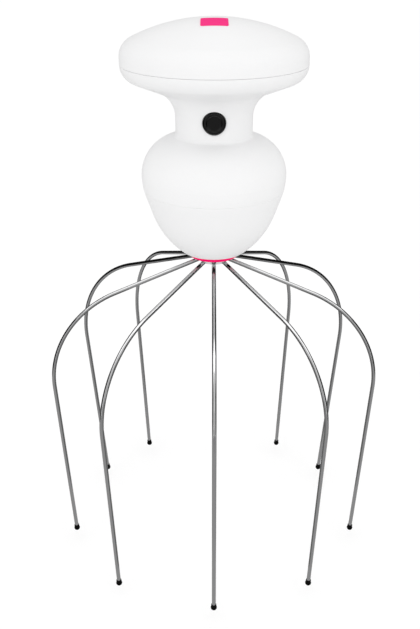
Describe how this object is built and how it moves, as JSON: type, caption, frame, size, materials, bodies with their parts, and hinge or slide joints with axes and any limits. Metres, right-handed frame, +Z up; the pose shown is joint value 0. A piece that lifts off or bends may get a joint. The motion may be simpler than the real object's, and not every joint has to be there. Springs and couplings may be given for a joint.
{
  "type": "vibrating head massager",
  "caption": "Battery head massager with a mushroom cap and waisted neck to hold, a push button, a vibration motor and sprung steel wires with beaded tips.",
  "frame": {"origin": "on the body's axis, at the floor that the bead tips stand on", "axes": "+Z up the body's axis, -Y to the front with the push button, +X to the right seen from the front"},
  "size_m": [0.1314, 0.1245, 0.2159],
  "materials": {
    "white_shell": "satin moulded ABS",
    "white_hub": "moulded ABS",
    "pink_plastic": "gloss moulded",
    "pink_label": "printed film",
    "black_button": "fine satin",
    "black_rubber": "matt",
    "nickel_contact": "nickel plate",
    "steel_screw": "zinc plate",
    "black_plastic": "moulded",
    "cell_jacket": "printed sleeve",
    "green_board": "solder mask",
    "motor_steel": "drawn",
    "magnet": "sintered",
    "brass": "turned",
    "lead_black": "PVC sleeve",
    "lead_red": "PVC sleeve",
    "lead_yellow": "PVC sleeve",
    "spring_steel": "polished",
    "black_bead": "dipped"
  },
  "bodies": {
    "handle": {"main_housing": "white_shell", "base_cup": "white_shell", "accent_ring": "pink_plastic", "wire_hub": "white_hub", "hub_screw": "steel_screw", "battery_holder": "black_plastic", "holder_screws": "steel_screw", "cell_left": "cell_jacket", "cell_right": "cell_jacket", "battery_spring": "nickel_contact", "negative_contact": "nickel_contact", "positive_contact": "nickel_contact", "switch_board": "green_board", "switch_body": "black_plastic", "motor_mount": "black_plastic", "motor_can": "motor_steel", "motor_magnets": "magnet", "motor_end_cap": "white_hub", "motor_terminals": "brass", "motor_brushes": "brass", "lead_black": "lead_black", "lead_red": "lead_red", "lead_yellow": "lead_yellow"},
    "lid": {"lid_dome": "white_shell", "blank_label": "pink_label", "lid_seal": "black_rubber", "bridge_contact": "nickel_contact"},
    "button": {"button_cap": "black_button", "switch_plunger": "white_hub"},
    "rotor": {"motor_shaft": "motor_steel", "motor_armature": "motor_steel", "motor_commutator": "brass", "eccentric_weight": "brass"},
    "finger_1": {"finger_wire_1": "spring_steel", "tip_bead_1": "black_bead"},
    "finger_2": {"finger_wire_2": "spring_steel", "tip_bead_2": "black_bead"},
    "finger_3": {"finger_wire_3": "spring_steel", "tip_bead_3": "black_bead"},
    "finger_4": {"finger_wire_4": "spring_steel", "tip_bead_4": "black_bead"},
    "finger_5": {"finger_wire_5": "spring_steel", "tip_bead_5": "black_bead"},
    "finger_6": {"finger_wire_6": "spring_steel", "tip_bead_6": "black_bead"},
    "finger_7": {"finger_wire_7": "spring_steel", "tip_bead_7": "black_bead"},
    "finger_8": {"finger_wire_8": "spring_steel", "tip_bead_8": "black_bead"},
    "finger_9": {"finger_wire_9": "spring_steel", "tip_bead_9": "black_bead"}
  },
  "joints": [
    {"name": "lid_lift", "type": "slide", "parent": "handle", "child": "lid", "axis": [0, 0, 1], "range_m": [0, 0.04]},
    {"name": "button_press", "type": "slide", "parent": "handle", "child": "button", "axis": [0, 1, 0], "range_m": [0, 0.0008], "stiffness_N_per_m": 900},
    {"name": "rotor_spin", "type": "hinge", "parent": "handle", "child": "rotor", "pos_m": [0, 0, 0.14704], "axis": [0, 0, 1], "continuous": true},
    {"name": "finger_1_flex", "type": "hinge", "parent": "handle", "child": "finger_1", "pos_m": [0, -0.0054, 0.12527], "axis": [-1, 0, 0], "range_deg": [-4, 14], "stiffness_Nm_per_rad": 0.57},
    {"name": "finger_2_flex", "type": "hinge", "parent": "handle", "child": "finger_2", "pos_m": [0.00332, -0.00426, 0.12527], "axis": [-0.788, -0.6157, 0], "range_deg": [-4, 14], "stiffness_Nm_per_rad": 0.57},
    {"name": "finger_3_flex", "type": "hinge", "parent": "handle", "child": "finger_3", "pos_m": [0.00523, -0.00135, 0.12527], "axis": [-0.2504, -0.9681, 0], "range_deg": [-4, 14], "stiffness_Nm_per_rad": 0.57},
    {"name": "finger_4_flex", "type": "hinge", "parent": "handle", "child": "finger_4", "pos_m": [0.00472, 0.00262, 0.12527], "axis": [0.4848, -0.8746, 0], "range_deg": [-4, 14], "stiffness_Nm_per_rad": 0.57},
    {"name": "finger_5_flex", "type": "hinge", "parent": "handle", "child": "finger_5", "pos_m": [0.00298, 0.0045, 0.12527], "axis": [0.8339, -0.5519, 0], "range_deg": [-4, 14], "stiffness_Nm_per_rad": 0.57},
    {"name": "finger_6_flex", "type": "hinge", "parent": "handle", "child": "finger_6", "pos_m": [-0.00298, 0.0045, 0.12527], "axis": [0.8339, 0.5519, 0], "range_deg": [-4, 14], "stiffness_Nm_per_rad": 0.57},
    {"name": "finger_7_flex", "type": "hinge", "parent": "handle", "child": "finger_7", "pos_m": [-0.00472, 0.00262, 0.12527], "axis": [0.4848, 0.8746, 0], "range_deg": [-4, 14], "stiffness_Nm_per_rad": 0.57},
    {"name": "finger_8_flex", "type": "hinge", "parent": "handle", "child": "finger_8", "pos_m": [-0.00523, -0.00135, 0.12527], "axis": [-0.2504, 0.9681, 0], "range_deg": [-4, 14], "stiffness_Nm_per_rad": 0.57},
    {"name": "finger_9_flex", "type": "hinge", "parent": "handle", "child": "finger_9", "pos_m": [-0.00332, -0.00426, 0.12527], "axis": [-0.788, 0.6157, 0], "range_deg": [-4, 14], "stiffness_Nm_per_rad": 0.57}
  ]
}
